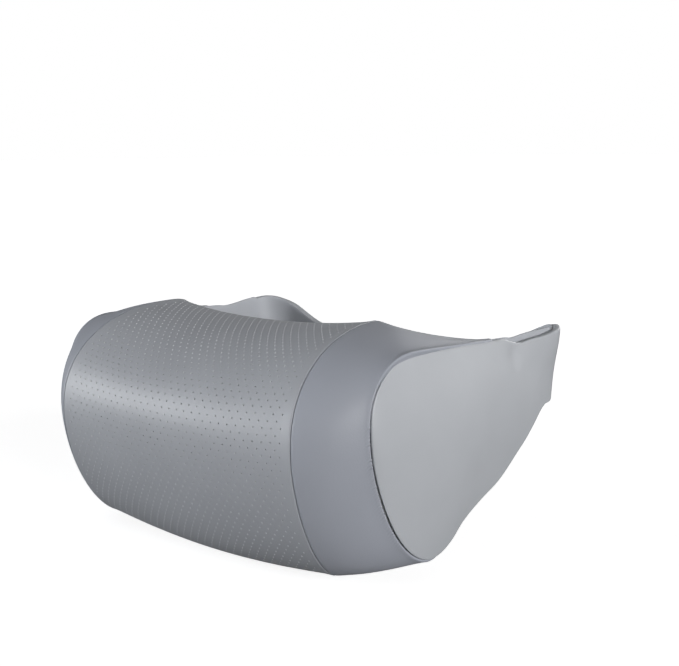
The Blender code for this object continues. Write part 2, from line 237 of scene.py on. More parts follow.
def settle(bm, air):
    # cloth with a little spare leather, sewn down at its edges and filled from behind
    sewn = [v.index for v in bm.verts if v.is_boundary]
    before = [v.co.copy() for v in bm.verts]
    mesh = bpy.data.meshes.new("settling")
    bm.to_mesh(mesh)
    cover = bpy.data.objects.new("settling", mesh)
    bpy.context.scene.collection.objects.link(cover)
    group = cover.vertex_groups.new(name="sewn")
    group.add(sewn, 1.0, "REPLACE")
    modifier = cover.modifiers.new("cloth", "CLOTH")
    settings = modifier.settings
    settings.vertex_group_mass = "sewn"
    settings.quality = cloth["quality"]
    settings.mass = cloth["mass"]
    settings.tension_stiffness = air["stretch"]
    settings.compression_stiffness = air["stretch"]
    settings.shear_stiffness = air["shear"]
    settings.bending_stiffness = air["bend"]
    settings.shrink_min = -air["spare"]
    settings.use_pressure = True
    settings.uniform_pressure_force = air["pressure"]
    settings.effector_weights.gravity = 0
    modifier.point_cache.frame_start = 1
    modifier.point_cache.frame_end = cloth["frames"]
    for number in range(1, cloth["frames"] + 1):
        bpy.context.scene.frame_set(number)
    settled = cover.evaluated_get(bpy.context.evaluated_depsgraph_get()).data
    moved = 0.0
    for v in bm.verts:
        step = settled.vertices[v.index].co - before[v.index]
        if step.length > 1e-9:
            step *= air["cap"] * (1 - math.exp(-step.length / air["cap"])) / step.length
        moved = max(moved, step.length)
        v.co = before[v.index] + step
    bpy.data.objects.remove(cover)
    bpy.context.scene.frame_set(1)
    bm.normal_update()
    print("  settled, moved at most", round(moved * 1000, 1), "mm")


def socket(tree, node, name, value):
    if isinstance(value, bpy.types.NodeSocket):
        tree.links.new(value, node.inputs[name])
    else:
        node.inputs[name].default_value = value


def node(tree, kind, settings=None, **inputs):
    made = tree.nodes.new(kind)
    for key, value in (settings or {}).items():
        setattr(made, key, value)
    for name, value in inputs.items():
        key = int(name[2:]) if name.startswith("at") else name.replace("_", " ")
        socket(tree, made, key, value)
    return made


def newFinish(name):
    finish = bpy.data.materials.new(name)
    finish.use_nodes = True
    return finish, finish.node_tree, finish.node_tree.nodes["Principled BSDF"]


def ramp(tree, factor, stops):
    made = tree.nodes.new("ShaderNodeValToRGB")
    tree.links.new(factor, made.inputs["Fac"])
    elements = made.color_ramp.elements
    for i, (place, colour) in enumerate(stops):
        stop = elements[i] if i < 2 else elements.new(place)
        stop.position = place
        stop.color = colour if len(colour) == 4 else (*colour, 1)
    return made.outputs["Color"]


def leather(name, look):
    # smooth coated leather: fine pebble grain, slow tone changes, a soft satin top coat
    finish, tree, shader = newFinish(name)
    place = node(tree, "ShaderNodeTexCoord").outputs["Object"]
    slow = node(tree, "ShaderNodeTexNoise", Vector=place, Scale=look["patchScale"], Detail=3.0)
    shade, tint = look["shade"], look["tint"]
    tone = ramp(tree, slow.outputs["Fac"], [(0.3, shade), (0.7, tint)])
    pebble = node(tree, "ShaderNodeTexVoronoi", {"feature": "SMOOTH_F1"}, Vector=place,
                  Scale=look["grainScale"], Smoothness=0.35)
    creases = node(tree, "ShaderNodeTexVoronoi", {"feature": "DISTANCE_TO_EDGE"}, Vector=place,
                   Scale=look["creaseScale"])
    crease = node(tree, "ShaderNodeMapRange", {"clamp": True}, Value=creases.outputs["Distance"],
                  From_Max=0.12)
    fine = node(tree, "ShaderNodeTexNoise", Vector=place, Scale=look["grainScale"] * 2.4,
                Detail=4.0)
    hills = node(tree, "ShaderNodeMath", {"operation": "MULTIPLY_ADD"},
                 at0=pebble.outputs["Distance"], at1=-0.6, at2=fine.outputs["Fac"])
    height = node(tree, "ShaderNodeMath", {"operation": "MULTIPLY_ADD"},
                  at0=crease.outputs["Result"], at1=0.35, at2=hills.outputs["Value"])
    bump = node(tree, "ShaderNodeBump", Strength=look["bump"], Distance=look["grainDepth"],
                Height=height.outputs["Value"])
    gloss = node(tree, "ShaderNodeMapRange", Value=fine.outputs["Fac"], From_Min=0.3, From_Max=0.7,
                 To_Min=look["rough"] - 0.05, To_Max=look["rough"] + 0.05)
    tree.links.new(tone, shader.inputs["Base Color"])
    tree.links.new(gloss.outputs["Result"], shader.inputs["Roughness"])
    tree.links.new(bump.outputs["Normal"], shader.inputs["Normal"])
    shader.inputs["IOR"].default_value = 1.46
    shader.inputs["Specular IOR Level"].default_value = look["specular"]
    shader.inputs["Coat Weight"].default_value = look["coat"]
    shader.inputs["Coat Roughness"].default_value = look["coatRough"]
    shader.inputs["Sheen Weight"].default_value = look["sheen"]
    shader.inputs["Sheen Roughness"].default_value = 0.45
    return finish


def matt(name, look):
    # foam, wadding, webbing, painted-light raw edges and painted hole shade: one noise for tone and
    # for relief
    finish, tree, shader = newFinish(name)
    place = node(tree, "ShaderNodeTexCoord").outputs["Object"]
    grains = node(tree, "ShaderNodeTexNoise", Vector=place, Scale=look["scale"], Detail=5.0)
    tone = ramp(tree, grains.outputs["Fac"], [(0.35, look["shade"]), (0.65, look["tint"])])
    bump = node(tree, "ShaderNodeBump", Strength=look["bump"], Distance=look["depth"],
                Height=grains.outputs["Fac"])
    tree.links.new(tone, shader.inputs["Base Color"])
    tree.links.new(bump.outputs["Normal"], shader.inputs["Normal"])
    shader.inputs["Roughness"].default_value = look["rough"]
    shader.inputs["Sheen Weight"].default_value = look["sheen"]
    return finish


def ribbed(name, look):
    # woven elastic: ribs across its width, crossed by fine threads
    finish, tree, shader = newFinish(name)
    place = node(tree, "ShaderNodeTexCoord").outputs["Object"]
    ribs = node(tree, "ShaderNodeTexWave", {"bands_direction": "Z", "wave_profile": "SIN"},
                Vector=place, Scale=look["ribScale"], Distortion=0.15)
    threads = node(tree, "ShaderNodeTexWave", {"bands_direction": "X", "wave_profile": "SIN"},
                   Vector=place, Scale=look["threadScale"], Distortion=0.3)
    height = node(tree, "ShaderNodeMath", {"operation": "MULTIPLY_ADD"}, at0=threads.outputs["Fac"],
                  at1=0.4, at2=ribs.outputs["Fac"])
    tone = ramp(tree, height.outputs["Value"], [(0.2, look["shade"]), (1.1, look["tint"])])
    bump = node(tree, "ShaderNodeBump", Strength=0.8, Distance=look["depth"],
                Height=height.outputs["Value"])
    tree.links.new(tone, shader.inputs["Base Color"])
    tree.links.new(bump.outputs["Normal"], shader.inputs["Normal"])
    shader.inputs["Roughness"].default_value = 0.8
    shader.inputs["Sheen Weight"].default_value = 0.25
    return finish


leatherLook = {"shade": (0.42, 0.436, 0.463), "tint": (0.456, 0.473, 0.501), "patchScale": 14.0,
               "grainScale": 900.0, "creaseScale": 420.0, "grainDepth": 0.00012, "bump": 0.25,
               "rough": 0.45, "coat": 0.25, "coatRough": 0.34, "sheen": 0.03, "specular": 0.5}
perforatedLook = {**leatherLook, "shade": (0.345, 0.357, 0.386), "tint": (0.374, 0.388, 0.418),
                  "bump": 0.3, "coat": 0.15, "coatRough": 0.42, "rough": 0.5, "specular": 0.35}
bandLook = {**leatherLook, "shade": (0.325, 0.342, 0.388), "tint": (0.354, 0.372, 0.42),
            "coat": 0.2, "coatRough": 0.42}
liningLook = {**leatherLook, "shade": (0.395, 0.41, 0.44), "tint": (0.43, 0.446, 0.477),
              "rough": 0.55, "coat": 0.0}
# near-black painted shade for the deeper wall and the floor of the holes
paintedHoleShadeLook = {"shade": (0.05, 0.052, 0.058), "tint": (0.10, 0.104, 0.112), "scale": 2500.0,
            "bump": 0.2, "depth": 0.0001, "rough": 0.9, "sheen": 0.0}
finishes = {
    "perforated": leather("perforatedLeather", perforatedLook),
    "band": leather("bandLeather", bandLook),
    "wing": leather("wingLeather", leatherLook),
    "lining": leather("liningLeather", liningLook),
    # the holes' upper wall: a pale cut edge, whitened further as painted light where light falls on
    # it
    "cutEdgeAndPaintedLight": matt("cutEdgeAndPaintedLight", {**paintedHoleShadeLook, "shade": (0.8, 0.81, 0.83), "tint": (0.9, 0.91, 0.93),
                                "rough": 0.8}),
    "paintedHoleShade": matt("paintedHoleShade", paintedHoleShadeLook),
    "foam": matt("foam", {"shade": (0.72, 0.69, 0.60), "tint": (0.82, 0.80, 0.72), "scale": 900.0,
                          "bump": 0.6, "depth": 0.0004, "rough": 0.95, "sheen": 0.1}),
    "wadding": matt("wadding", {"shade": (0.66, 0.66, 0.64), "tint": (0.8, 0.8, 0.78),
                                "scale": 600.0,
                                "bump": 0.7, "depth": 0.0005, "rough": 0.95, "sheen": 0.3}),
    "elastic": ribbed("elastic", {"shade": (0.02, 0.02, 0.022), "tint": (0.07, 0.07, 0.076),
                                  "ribScale": 220.0, "threadScale": 500.0, "depth": 0.0004}),
    "tape": matt("tape", {"shade": (0.015, 0.015, 0.017), "tint": (0.06, 0.06, 0.065),
                          "scale": 1800.0, "bump": 1.0, "depth": 0.0006,
                           "rough": 0.9, "sheen": 0.5}),
    "thread": matt("thread", {"shade": (0.03, 0.03, 0.033), "tint": (0.09, 0.09, 0.1),
                              "scale": 3000.0, "bump": 0.5, "depth": 0.0001, "rough": 0.7,
                              "sheen": 0.2}),
}
print("finishes made")

# perforated panel over the front of the roll
panel = {
    "pitch": 0.0064, "rowPitch": 0.00445, "holeRadius": 0.00057, "holeDepth": 0.0009,
    "lip": 0.00006, "coating": 0.00034, "draft": 0.00002, "smoothAngle": 32,
    "margin": 2, "turn": 0.0011, "rim": 0.0006, "rimReach": 0.004,
    "edge": [(0.0003, 0.00006), (0.0006, 0.00025), (0.00073, 0.0006), (0.00075, 0.0014),
             (0.0012, 0.0017), (0.0020, 0.0018)],
    "air": {"stretch": 30.0, "shear": 8.0, "bend": 0.4, "spare": 0.0, "pressure": 0.8,
            "cap": 0.0008},
}


def raiseRim(bm, distance, height, reach):
    # leather swells up towards a seam before it turns in
    uv = bm.loops.layers.uv.active
    for v in bm.verts:
        away = distance(v.link_loops[0][uv].uv)
        v.co += v.normal * height * math.exp(-(away / reach) ** 2)
    bm.normal_update()


def perforate(bm, holes):
    # each marked corner of the grid opens into a round hole with a wall and a floor
    cut = bmesh.ops.bevel(bm, geom=holes, offset=panel["holeRadius"], offset_type="OFFSET",
                          segments=1, profile=0.5, affect="VERTICES", material=-1)
    rounds = [f for f in cut["faces"] if len(f.verts) == 4]
    bmesh.ops.bisect_edges(bm, edges=list({e for f in rounds for e in f.edges}), cuts=1)
    for f in rounds:
        middle = f.calc_center_median()
        for v in f.verts:
            v.co = middle + (v.co - middle).normalized() * panel["holeRadius"]
    bmesh.ops.inset_individual(bm, faces=rounds, thickness=panel["lip"], depth=panel["lip"])
    edges = bmesh.ops.inset_individual(bm, faces=rounds, thickness=panel["draft"],
                                       depth=-panel["coating"])
    # the upper wall: a pale cut edge, whitened as painted light
    for f in edges["faces"]:
        f.material_index = 1
    walls = bmesh.ops.inset_individual(bm, faces=rounds, thickness=panel["draft"],
                                       depth=panel["coating"] - panel["holeDepth"])
    # the deeper wall and the floor are painted near black: painted shade inside the hole
    for f in walls["faces"] + rounds:
        f.material_index = 2


def frontPanel():
    across = 2 * round(2 * roll["seamHalf"] / panel["pitch"])
    middle = panelLine(0.0)
    length = sum((b - a).length for a, b in zip(middle, middle[1:]))
    along = round(length / panel["rowPitch"])
    rows = [evenly(panelLine(2 * i / across - 1), along + 1, panel["turn"], panel["turn"])
            for i in range(across + 1)]
    rows = acrossEvenly(rows, across + 1, panel["turn"], panel["turn"])
    bm = sheet(rows, lambda c: c - roll["inside"] - Vector((c.x, 0.0, 0.0)))
    settle(bm, panel["air"])
    uv = bm.loops.layers.uv.active
    raiseRim(bm, lambda place: min(place.x, 1 - place.x) * 2 * roll["seamHalf"], panel["rim"],
             panel["rimReach"])
    holes = []
    for v in bm.verts:
        place = v.link_loops[0][uv].uv
        i, j = round(place.x * across), round(place.y * along)
        near = min(i, across - i, j, along - j)
        if (i + j) % 2 == 0 and near >= panel["margin"]:
            holes.append(v)
    print("  holes:", len(holes))
    turnEdge(bm, openEdges(bm), panel["edge"])
    perforate(bm, holes)
    looks = [finishes[key] for key in ("perforated", "cutEdgeAndPaintedLight", "paintedHoleShade")]
    return newPiece("frontPanel", bm, looks, panel["smoothAngle"])


frontPiece = frontPanel()
print("perforated panel made")

# smooth bands round the roll's ends
band = {
    "lines": 24, "across": 15, "along": 150, "turn": 0.0011, "width": 0.055,
    "rim": 0.0004, "rimReach": 0.004,
    "edge": [(0.0003, 0.00006), (0.0006, 0.00025), (0.00073, 0.0006), (0.00075, 0.0014),
             (0.0012, 0.0018), (0.0020, 0.0019)],
    "wingEdge": [(0.0004, 0.0001), (0.0008, 0.00035), (0.00105, 0.0008), (0.0011, 0.0013),
                 (0.0009, 0.0018), (0.0003, 0.0022), (-0.0008, 0.0036), (-0.0018, 0.0050)],
    "welt": 0.0007, "weltReach": 0.003, "swell": 0.0021, "swellReach": 0.0085, "swellMiddle": 0.33,
    "swellLength": 0.13, "pucker": 0.0005, "puckers": 118, "puckerReach": 0.0025,
    "puckerStart": (0.46, 0.12), "puckerEnd": (0.88, 0.06), "puckerChange": 40,
    "air": {"stretch": 30.0, "shear": 8.0, "bend": 0.8, "spare": 0.0002, "pressure": 1.0,
            "cap": 0.0014},
}


def shapeBand(bm):
    # a welt beside the wing's seam, highest above the nose, with small puckers low down
    uv = bm.loops.layers.uv.active
    (start, startOver), (end, endOver) = band["puckerStart"], band["puckerEnd"]
    for v in bm.verts:
        place = v.link_loops[0][uv].uv
        toWing, toPanel = (1 - place.x) * band["width"], place.x * band["width"]
        swell = math.exp(-((place.y - band["swellMiddle"]) / band["swellLength"]) ** 2)
        rise = band["swell"] * swell * math.exp(-toWing / band["swellReach"])
        rise += band["welt"] * math.exp(-toWing / band["weltReach"])
        rise += band["rim"] * math.exp(-(toPanel / band["rimReach"]) ** 2)
        low = ease((place.y - start) / startOver) * ease((end - place.y) / endOver)
        beat = math.sin(2 * math.pi * place.y * band["puckers"])
        beat *= 0.6 + 0.8 * noise.noise(Vector((place.y * band["puckerChange"], 0.0, 0.0)))
        rise += band["pucker"] * beat * low * math.exp(-(toWing / band["puckerReach"]) ** 2)
        v.co += v.normal * rise
    bm.normal_update()


def bandPiece(side):
    turn, count = band["turn"], band["lines"]
    lines = [evenly(bandLine(i / count), band["along"] + 1, turn, turn) for i in range(count + 1)]
    rows = acrossEvenly(lines, band["across"] + 1, turn, turn)
    bm = sheet(rows, lambda c: c - roll["bandInside"])
    settle(bm, band["air"])
    refine(bm)
    shapeBand(bm)
    uv = bm.loops.layers.uv.active
    atWing = [e for e in openEdges(bm) if all(v.link_loops[0][uv].uv.x > 0.999 for v in e.verts)]
    turnEdge(bm, [e for e in openEdges(bm) if e not in atWing], band["edge"])
    turnEdge(bm, atWing, band["wingEdge"])
    return toSide(bm, side)


def toSide(bm, side):
    if side < 0:
        bmesh.ops.scale(bm, vec=(-1, 1, 1), verts=bm.verts[:])
        bmesh.ops.reverse_faces(bm, faces=bm.faces[:])
    return bm


# wings: the roll's end, the flank beside the opening and the narrow rear end
wing = {
    "rearY": 0.159, "rearRadius": 0.030, "endHalf": 0.045,
    "endTop": 0.026, "endBottom": -0.008, "dropStart": 0.2, "dropEnd": 0.7,
    "top": [(-0.0345, 0.053), (0.0, 0.0526), (0.026, 0.0518), (0.044, 0.0507), (0.0587, 0.0501),
            (0.0688, 0.0495), (0.0752, 0.0475), (0.0818, 0.0456), (0.0897, 0.0441),
            (0.1017, 0.0450),
            (0.1153, 0.0458), (0.1223, 0.0467), (0.129, 0.0480)],
    "bottom": [(-0.015, -0.0865), (-0.004, -0.0848), (0.0081, -0.0790), (0.0197, -0.0702),
               (0.040, -0.0605), (0.0648, -0.0508), (0.0906, -0.0342), (0.104, -0.0256),
               (0.1148, -0.0185), (0.123, -0.0119), (0.129, -0.0080)],
    "puff": 0.0105, "puffPower": 0.7, "flare": 0.005, "tuck": 0.0025, "flareStart": 0.095,
    "flareOver": 0.04, "flareFoot": -0.008, "flareHeight": 0.056, "hump": 0.0018, "humpEnd": 0.3,
    "steps": 60, "freeOver": 0.01,
    "flank": 52, "corner": 14, "tail": 16, "height": 34, "noseUpper": 0.50, "noseLower": 0.42,
    "trim": 0.0011, "seamTrim": 0.0012,
    "edge": [(0.0004, 0.00008), (0.00075, 0.0003), (0.001, 0.00065), (0.00108, 0.0011),
             (0.00108, 0.0048), (0.0007, 0.0052), (0.0, 0.0054)],
    "dents": [((0.078, 0.036), 0.0016, 0.010), ((0.100, 0.022), 0.0010, 0.012)],
    "air": {"stretch": 30.0, "shear": 10.0, "bend": 1.0, "spare": 0.0, "pressure": 1.5,
            "cap": 0.002},
}


def throughStops(stops, y):
    # a smooth curve through stops
    k = 0
    while k < len(stops) - 2 and stops[k + 1][0] < y:
        k += 1
    (ya, za), (yb, zb) = stops[k], stops[k + 1]
    yp, zp = stops[k - 1] if k > 0 else (2 * ya - yb, za)
    yn, zn = stops[k + 2] if k + 2 < len(stops) else (2 * yb - ya, zb + (zb - za))
    t = min(1.0, max(0.0, (y - ya) / (yb - ya)))
    slopeA = (zb - zp) / (yb - yp) * (yb - ya)
    slopeB = (zn - za) / (yn - ya) * (yb - ya)
    return ((2 * t ** 3 - 3 * t ** 2 + 1) * za + (t ** 3 - 2 * t ** 2 + t) * slopeA
            + (-2 * t ** 3 + 3 * t ** 2) * zb + (t ** 3 - t ** 2) * slopeB)


def quarterHeight(y, level, upright, power):
    t = min(1.0, max(0.0, (y - level[0]) / (upright[0] - level[0])))
    return upright[1] + (level[1] - upright[1]) * (1 - t ** power) ** (1 / power)


def wingTop(y):
    side = roll["side"]
    if y <= side["crest"]:
        level, nose = (side["crest"], side["top"]), (-side["reach"], side["nose"])
        return quarterHeight(y, level, nose, side["upper"])
    return throughStops(wing["top"], y)


def wingBottom(y):
    side = roll["side"]
    if y <= side["sole"]:
        level, nose = (side["sole"], -side["bottom"]), (-side["reach"], side["nose"])
        return quarterHeight(y, level, nose, side["lower"])
    return throughStops(wing["bottom"], y)


def wingEdge(trim):
    # the flank's edge in (0, y, z): from the rear along the top, round the nose, back below
    side = roll["side"]
    crest, nose = (side["crest"], side["top"]), (-side["reach"], side["nose"])
    sole = (side["sole"], -side["bottom"])
    steps = wing["steps"]
    found = [(y, wingTop(y)) for y in
             (between(wingLength(), side["crest"], i / steps) for i in range(steps))]
    upper = quarter(crest, nose, side["upper"], steps, True)
    lower = quarter(nose, sole, side["lower"], steps, False)
    found += upper + lower
    found += [(y, wingBottom(y)) for y in
              (between(side["sole"], wingLength(), i / steps) for i in range(steps + 1))]
    flat = [Vector((0.0, y, z)) for y, z in found]
    edge = []
    for i, p in enumerate(flat):
        along = flat[min(i + 1, len(flat) - 1)] - flat[max(i - 1, 0)]
        inwards = Vector((0.0, -along.z, along.y)).normalized()
        start = side["back"] if i < len(flat) / 2 else -wing["freeOver"]
        free = ease((p.y - start) / wing["freeOver"])
        edge.append(p + inwards * between(wing["seamTrim"], trim, free))
    edge[0].y = edge[-1].y = wingLength()
    upperEnd = round(steps * (1 + wing["noseUpper"]))
    lowerEnd = round(steps * (2 + wing["noseLower"]))
    return edge[upperEnd::-1], edge[lowerEnd:upperEnd - 1:-1], edge[lowerEnd:]


def wingLength():
    return wing["rearY"] - wing["rearRadius"]


def rearStations(endHalf):
    # round the rear corner and along the back: x, y, normal x, normal y, low, high
    corner = (sideX(wingLength()) - wing["rearRadius"], wingLength())
    arc = math.pi / 2 * wing["rearRadius"]
    run = corner[0] - endHalf
    highStart, lowStart = wing["top"][-1][1], wing["bottom"][-1][1]
    found = []
    for i in range(1, wing["corner"] + wing["tail"] + 1):
        if i <= wing["corner"]:
            angle = math.pi / 2 * i / wing["corner"]
            gone = arc * i / wing["corner"]
            nx, ny = math.cos(angle), math.sin(angle)
            x, y = corner[0] + wing["rearRadius"] * nx, corner[1] + wing["rearRadius"] * ny
        else:
            back = run * (i - wing["corner"]) / wing["tail"]
            gone = arc + back
            nx, ny, x, y = 0.0, 1.0, corner[0] - back, wing["rearY"]
        t = gone / (arc + run)
        lift = wing["hump"] * math.sin(math.pi * min(1.0, t / wing["humpEnd"])) ** 2
        drop = ease((t - wing["dropStart"]) / (wing["dropEnd"] - wing["dropStart"]))
        found.append((x, y, nx, ny, between(lowStart, wing["endBottom"], t),
                      between(highStart, wing["endTop"], drop) + lift))
    return found


def flankStations(firstY, cells):
    ys = [between(firstY, wingLength(), i / cells) for i in range(cells + 1)]
    return [(sideX(y), y, 1.0, 0.0, wingBottom(y), wingTop(y)) for y in ys]


def flankRows(trim):
    # a patch between four edges: the nose, the top, the bottom and the line where the corner begins
    top, nose, bottom = wingEdge(trim)
    across, along = wing["flank"], wing["height"]
    top, bottom = evenly(top, across + 1), evenly(bottom, across + 1)
    nose = evenly(nose, along + 1)
    rear = evenly([bottom[-1], top[-1]], along + 1)
    rows = []
    for i in range(across + 1):
        a = i / across
        row = []
        for j in range(along + 1):
            b = j / along
            p = (bottom[i].lerp(top[i], b) + nose[j].lerp(rear[j], a)
                 - nose[0].lerp(rear[0], a).lerp(nose[-1].lerp(rear[-1], a), b))
            low, high = wingBottom(p.y), wingTop(p.y)
            q = min(1.0, max(0.0, (p.z - low) / max(high - low, 1e-6)))
            lean = flare(p.y, p.z)
            row.append(Vector((sideX(p.y) + puff(p.y, q) + lean - dent(p.y, p.z), p.y, p.z)))
        rows.append(row)
    return rows


def dent(y, z):
    found = 0.0
    for (atY, atZ), depth, reach in wing["dents"]:
        found += depth * math.exp(-((y - atY) ** 2 + (z - atZ) ** 2) / reach ** 2)
    return found


def puff(y, q):
    t = (y + roll["side"]["reach"]) / (wingLength() + roll["side"]["reach"])
    if not 0 < t < 1:
        return 0.0
    return wing["puff"] * math.sin(math.pi * t ** wing["puffPower"]) * math.sin(math.pi * q)


def flare(y, z):
    # the rear corner leans outwards at its top and in at its foot
    q = (z - wing["flareFoot"]) / wing["flareHeight"]
    lean = wing["flare"] * ease(q) ** 2 - wing["tuck"] * (1 - q) ** 2
    return ease((y - wing["flareStart"]) / wing["flareOver"]) * lean


def wingRows(stations, depth, heights):
    rows = []
    for x, y, nx, ny, low, high in stations:
        row = []
        for i in range(heights + 1):
            z = between(low, high, i / heights)
            lean = flare(y, z) * nx
            row.append(Vector((x - nx * depth + lean, y - ny * depth, z)))
        rows.append(row)
    return rows


def awayFromOpening(c):
    return c - Vector((0.0, 0.05, c.z))


def wingPiece(side):
    trim = wing["trim"]
    rear = [(x, y, nx, ny, low + trim, high - trim)
            for x, y, nx, ny, low, high in rearStations(wing["endHalf"] + trim)]
    bm = sheet(flankRows(trim) + wingRows(rear, 0.0, wing["height"]), awayFromOpening)
    settle(bm, wing["air"])
    refine(bm)
    turnEdge(bm, openEdges(bm), wing["edge"])
    return toSide(bm, side)


# lining on the inner side of a wing
lining = {"startGap": 0.0024, "leastHeight": 0.0048, "trim": 0.0014, "flank": 40, "height": 16,
          "spare": 0.0012, "topFrom": 0.0587,
          "top": [(0.0587, 0.0484), (0.0688, 0.0480), (0.0794, 0.0474), (0.086, 0.0464),
                  (0.0925, 0.0465), (0.0992, 0.0470), (0.1127, 0.0481), (0.1266, 0.0487),
                  (0.129, 0.0489)]}


def joinLine(y):
    # the slanting line where the roll ends and the free part of a wing begins
    side = roll["side"]
    low = (side["backLow"], -side["bottom"])
    high = (side["back"], side["top"] - side["drop"])
    return between(low[1], high[1], (y - low[0]) / (high[0] - low[0]))


def liningPiece(side):
    first = roll["side"]["backLow"] + lining["startGap"]
    trim = lining["trim"]
    stations = []
    for x, y, nx, ny, low, high in flankStations(first, lining["flank"]):
        top = high
        if y > lining["topFrom"]:
            top = throughStops(lining["top"], y) + lining["spare"]
        roof = max(joinLine(y) - trim, low + lining["leastHeight"])
        stations.append((x, y, nx, ny, low + trim, min(top, roof)))
    for x, y, nx, ny, low, high in rearStations(wing["endHalf"] + trim):
        stations.append((x, y, nx, ny, low + trim, high))
    rows = wingRows(stations, layers["liningFace"], lining["height"])
    return toSide(sheet(rows, lambda c: -awayFromOpening(c)), side)


wadding = {"trim": 0.0032, "start": 0.004, "flank": 30, "height": 12}


def waddingPiece(side):
    # a thin layer between leather and lining, which only a cut would show
    trim, start = wadding["trim"], wadding["start"] - roll["side"]["reach"]
    stations = [(x, y, nx, ny, low + trim, high - trim)
                for x, y, nx, ny, low, high in flankStations(start, wadding["flank"])
                + rearStations(wing["endHalf"] + trim)]
    rows = wingRows(stations, layers["waddingFace"], wadding["height"])
    return toSide(sheet(rows, awayFromOpening), side)


def thicken(piece, thickness, rounding):
    wall = piece.modifiers.new("wall", "SOLIDIFY")
    wall.thickness = thickness
    wall.offset = -1
    wall.use_even_offset = True
    soft = piece.modifiers.new("soft", "BEVEL")
    soft.width = rounding
    soft.segments = 3


# back panel across the back of the roll and its slanting ends
back = {"columns": 26, "bandColumns": 12, "rows": 44, "turn": 0.0011,
        "edge": [(0.0004, 0.00008), (0.00075, 0.0003), (0.001, 0.00065), (0.00108, 0.0011),
                 (0.00108, 0.002)]}


def backPiece():
    turn = back["turn"]
    middle = [panelLine(i / back["columns"]) for i in range(back["columns"] + 1)]
    ends = [bandLine(i / back["bandColumns"]) for i in range(back["bandColumns"] + 1)]
    middle, ends = ([evenly([line[-1], line[0]], back["rows"] + 1, 2 * turn, 2 * turn)
                     for line in lines] for lines in (middle, ends))
    half = middle[:-1] + acrossEvenly(ends, back["bandColumns"] + 1, 0.0, turn)
    rows = [[Vector((-p.x, p.y, p.z)) for p in row] for row in half[:0:-1]] + half
    bm = sheet(rows, lambda c: Vector((0, 1, 0)))
    turnEdge(bm, openEdges(bm), back["edge"])
    return bm


def dress(piece, nodes):
    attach(piece, "root")
    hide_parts(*nodes)


dress(frontPiece, ["front_panel"])
for word, side in (("Left", -1), ("Right", 1)):
    tail = word.lower()
    piece = newPiece("band" + word, bandPiece(side), [finishes["band"]])
    dress(piece, ["band_" + tail])
    piece = newPiece("wing" + word, wingPiece(side), [finishes["wing"]])
    dress(piece, ["wing_" + tail])
    piece = newPiece("lining" + word, liningPiece(side), [finishes["lining"]])
    thicken(piece, layers["liningThick"], 0.0005)
    dress(piece, ["wing_lining_" + tail])
    piece = newPiece("wadding" + word, waddingPiece(side), [finishes["wadding"]])
    thicken(piece, layers["waddingThick"], 0.0008)
    dress(piece, ["wing_wadding_" + tail])
    print("band, wing and lining made:", tail)
piece = newPiece("backPanel", backPiece(), [finishes["band"]])
dress(piece, ["back_panel"])
print("back panel made")

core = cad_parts["foam_core"]
core.data.materials.clear()
core.data.materials.append(finishes["foam"])

# closure: an elastic strap sewn on the left wing, with two tapes that grip on the right one
closure = {
    "level": 0.009, "width": 0.030, "slack": 0.0007, "start": -0.095, "end": 0.100, "step": 0.030,
    "sewnFace": 0.1609, "farFace": 0.1643, "thick": 0.0016, "hem": 0.009, "hemThick": 0.0013,
    "columns": 120, "rowsUp": 12, "wave": 0.00025, "waveAlong": 170, "waveUp": 0.35,
    "freeFrom": -0.045, "freeTo": 0.049, "freeOver": 0.02, "hemInset": 0.0002, "hemPast": 0.0004,
    "tapeWidth": 0.026, "tapeThick": 0.0014, "tapeCell": 0.0007, "selvedge": 0.0014,
    "pile": 0.00035, "pileOver": 0.0008, "fuzz": (1500, 900),
    "loop": (0.049, 0.109, 0.1607), "hook": (0.049, 0.094, 0.1624),
    "stitch": 0.0022, "stitchGap": 0.0008, "threadRadius": 0.00028,
    "sewnBox": (-0.092, -0.050, 0.012), "hookBox": (0.0505, 0.0905, 0.0117),
    "hemRows": (0.0020, 0.0065), "hemRowHalf": 0.0135,
}


def strapFace(x):
    rise = ease((x + closure["step"] / 2) / closure["step"])
    return between(closure["sewnFace"], closure["farFace"], rise)


def strapPiece():
    columns, rowsUp, over = closure["columns"], closure["rowsUp"], closure["freeOver"]
    rows = []
    for i in range(columns + 1):
        x = between(closure["start"], closure["end"], i / columns)
        free = ease((x - closure["freeFrom"]) / over) * ease((closure["freeTo"] - x) / over)
        half = closure["width"] / 2 - closure["slack"] * free
        row = []
        for j in range(rowsUp + 1):
            wave = math.sin(x * closure["waveAlong"] + j * closure["waveUp"])
            row.append(Vector((x, strapFace(x) + closure["wave"] * free * wave,
                               closure["level"] + half * (2 * j / rowsUp - 1))))
        rows.append(row)
    return sheet(rows, lambda c: Vector((0, 1, 0)))


def slab(low, high, rounding):
    bm = bmesh.new()
    bmesh.ops.create_cube(bm, size=1.0)
    size = Vector(high) - Vector(low)
    bmesh.ops.scale(bm, vec=size, verts=bm.verts[:])
    bmesh.ops.translate(bm, vec=(Vector(low) + Vector(high)) / 2, verts=bm.verts[:])
    bmesh.ops.bevel(bm, geom=bm.edges[:], offset=rounding, segments=3, profile=0.5, affect="EDGES",
                    material=-1)
    return bm


